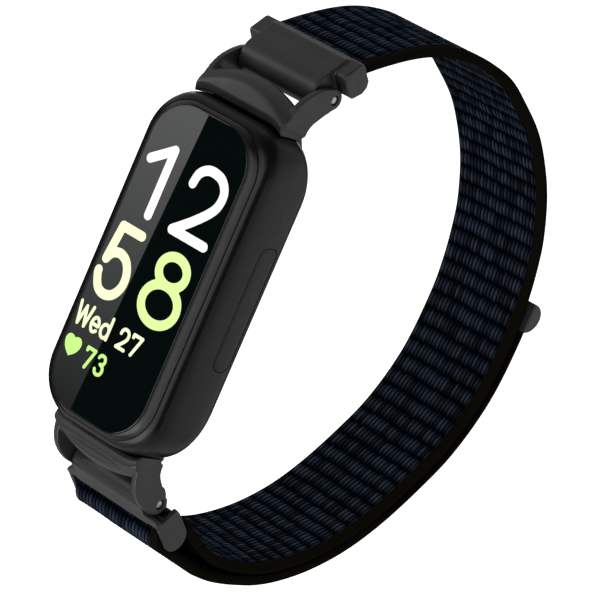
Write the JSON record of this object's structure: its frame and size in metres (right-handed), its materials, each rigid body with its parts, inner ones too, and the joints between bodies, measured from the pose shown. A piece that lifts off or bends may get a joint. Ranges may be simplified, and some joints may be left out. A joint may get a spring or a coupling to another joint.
{
  "type": "fitness tracker band",
  "caption": "Slim wrist tracker with a domed display in a woven hook-and-loop band, on pinned quick-release connectors.",
  "frame": {"origin": "middle of the wrist loop, on the line that the wrist lies along", "axes": "+X across the band, towards the tracker's right side as it is read; -Y out of the display; +Z towards twelve o'clock, the long way of the tracker"},
  "size_m": [0.0186, 0.0656, 0.0677],
  "materials": {
    "case": "satin black",
    "rim": "anodised grey, fine satin",
    "glass": "polished",
    "panel": "black emissive display",
    "rubber": "matt",
    "board": "green solder mask",
    "cell": "foil pouch",
    "part": "moulded",
    "window": "smoked, clear",
    "steel": "fine brushed",
    "brass": "sintered",
    "gold": "gold plated",
    "metal": "satin charcoal coating",
    "weave": "ribbed nylon webbing, blue-black",
    "hook": "hook tape"
  },
  "bodies": {
    "tracker": {"case_shell": "case", "rear_cover": "case", "cover_glass": "glass", "bezel_ring": "rim", "seal_gasket": "rubber", "display_panel": "panel", "main_board": "board", "battery_cell": "cell", "optical_sensor": "part", "sensor_window": "window", "charge_contact_a": "gold", "charge_contact_b": "gold", "key_switch_left": "part", "key_switch_right": "part", "motor_can": "steel", "motor_shaft": "steel", "top_yoke": "metal", "bottom_yoke": "metal", "top_hinge_pin": "steel", "bottom_hinge_pin": "steel", "top_spring_bar": "steel", "bottom_spring_bar": "steel", "top_release_spring": "steel", "bottom_release_spring": "steel", "main_strap": "weave"},
    "motor_weight": {"motor_weight": "brass"},
    "side_key_right": {"side_key_right": "case"},
    "side_key_left": {"side_key_left": "case"},
    "top_release": {"top_release_slide": "steel"},
    "bottom_release": {"bottom_release_slide": "steel"},
    "top_block": {"top_strap_block": "metal", "top_anchor_bar": "steel", "top_strap_end": "weave"},
    "bottom_ring": {"bottom_strap_ring": "metal", "strap_fold": "weave"},
    "tail": {"tail_strap": "weave", "hook_patch": "hook", "tail_end_bar": "metal"}
  },
  "joints": [
    {"name": "top_block_pivot", "type": "hinge", "parent": "tracker", "child": "top_block", "pos_m": [0, -0.0228, 0.0246], "axis": [1, 0, 0], "range_deg": [-8, 8]},
    {"name": "bottom_ring_pivot", "type": "hinge", "parent": "tracker", "child": "bottom_ring", "pos_m": [0, -0.0228, -0.0246], "axis": [1, 0, 0], "range_deg": [-8, 8]},
    {"name": "tail_peel", "type": "hinge", "parent": "tracker", "child": "tail", "pos_m": [0, -0.0146, -0.0319], "axis": [-1, 0, 0], "range_deg": [0, 50]},
    {"name": "side_key_right_press", "type": "slide", "parent": "tracker", "child": "side_key_right", "axis": [-1, 0, 0], "range_m": [0, 0.00025], "stiffness_N_per_m": 800, "springref_m": -0.0005},
    {"name": "side_key_left_press", "type": "slide", "parent": "tracker", "child": "side_key_left", "axis": [1, 0, 0], "range_m": [0, 0.00025], "stiffness_N_per_m": 800, "springref_m": -0.0005},
    {"name": "top_release_pull", "type": "slide", "parent": "tracker", "child": "top_release", "axis": [-1, 0, 0], "range_m": [0, 0.0009], "stiffness_N_per_m": 1500, "springref_m": -0.001, "deforming": ["top_release_spring"]},
    {"name": "bottom_release_pull", "type": "slide", "parent": "tracker", "child": "bottom_release", "axis": [-1, 0, 0], "range_m": [0, 0.0009], "stiffness_N_per_m": 1500, "springref_m": -0.001, "deforming": ["bottom_release_spring"]},
    {"name": "motor_spin", "type": "hinge", "parent": "tracker", "child": "motor_weight", "pos_m": [0, -0.02635, 0.0086], "axis": [0, 1, 0], "continuous": true}
  ]
}
